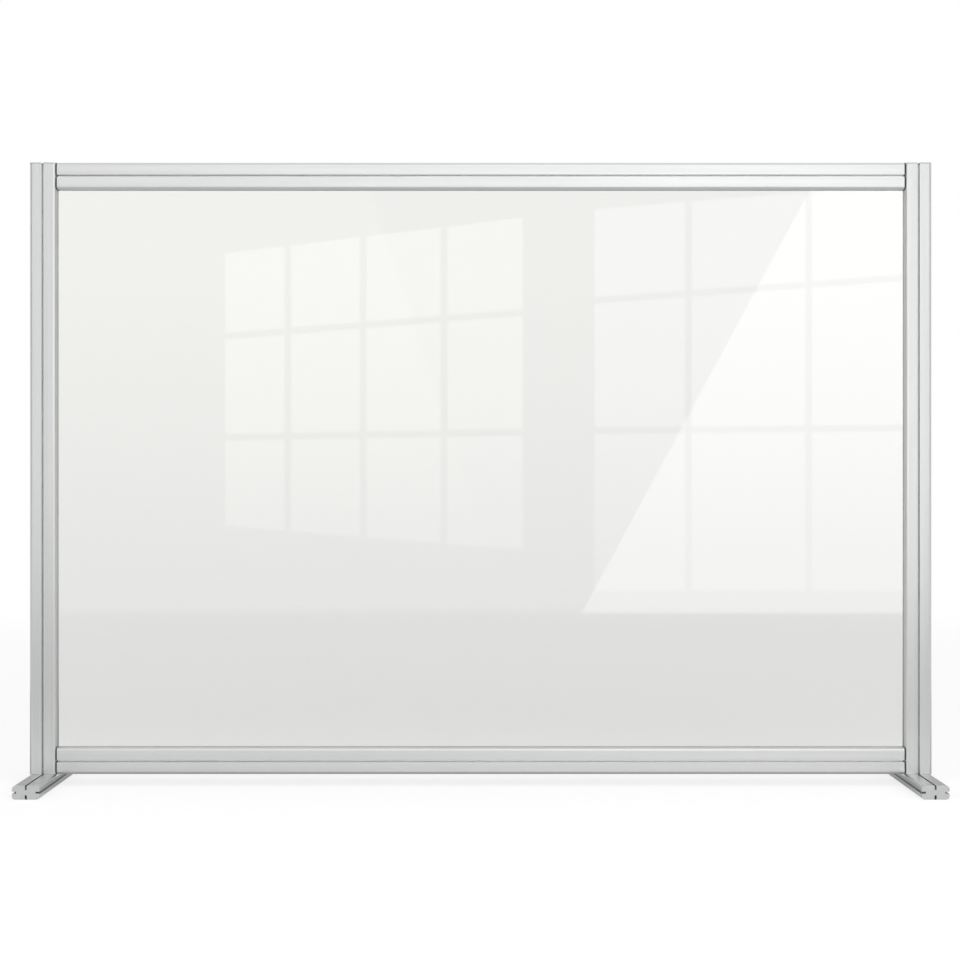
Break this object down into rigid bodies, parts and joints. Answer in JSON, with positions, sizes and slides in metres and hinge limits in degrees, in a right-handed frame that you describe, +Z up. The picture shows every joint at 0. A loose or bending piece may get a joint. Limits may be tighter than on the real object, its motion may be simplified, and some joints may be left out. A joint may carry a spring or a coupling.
{
  "type": "desk divider screen",
  "caption": "Clear acrylic desk divider screen in a slotted aluminium profile frame on cross feet, with slots in its posts for joining further screens.",
  "frame": {"origin": "on the desk, midway between the posts and midway along the feet", "axes": "+X along the screen to the right seen from the front, +Y from the front face to the rear face, +Z up"},
  "size_m": [1.443, 0.2, 1],
  "materials": {
    "anodised_aluminium": "satin silver anodised, fine lengthwise die lines",
    "clear_acrylic": "clear, polished",
    "grey_cap_plastic": "fine moulded grain",
    "black_nylon": "fine moulded grain",
    "zinc_plated_steel": "bright zinc plate",
    "black_rubber": "matt extruded rubber"
  },
  "bodies": {
    "root": {"acrylic_panel": "clear_acrylic", "bottom_left_connector": "black_nylon", "bottom_rail": "anodised_aluminium", "bottom_right_connector": "black_nylon", "left_foot": "anodised_aluminium", "left_foot_front_cap": "grey_cap_plastic", "left_foot_rear_cap": "grey_cap_plastic", "left_foot_screws": "zinc_plated_steel", "left_foot_strip": "black_rubber", "left_post": "anodised_aluminium", "left_post_cap": "grey_cap_plastic", "left_setting_block": "black_rubber", "right_foot": "anodised_aluminium", "right_foot_front_cap": "grey_cap_plastic", "right_foot_rear_cap": "grey_cap_plastic", "right_foot_screws": "zinc_plated_steel", "right_foot_strip": "black_rubber", "right_post": "anodised_aluminium", "right_post_cap": "grey_cap_plastic", "right_setting_block": "black_rubber", "top_left_connector": "black_nylon", "top_rail": "anodised_aluminium", "top_right_connector": "black_nylon"}
  },
  "joints": []
}
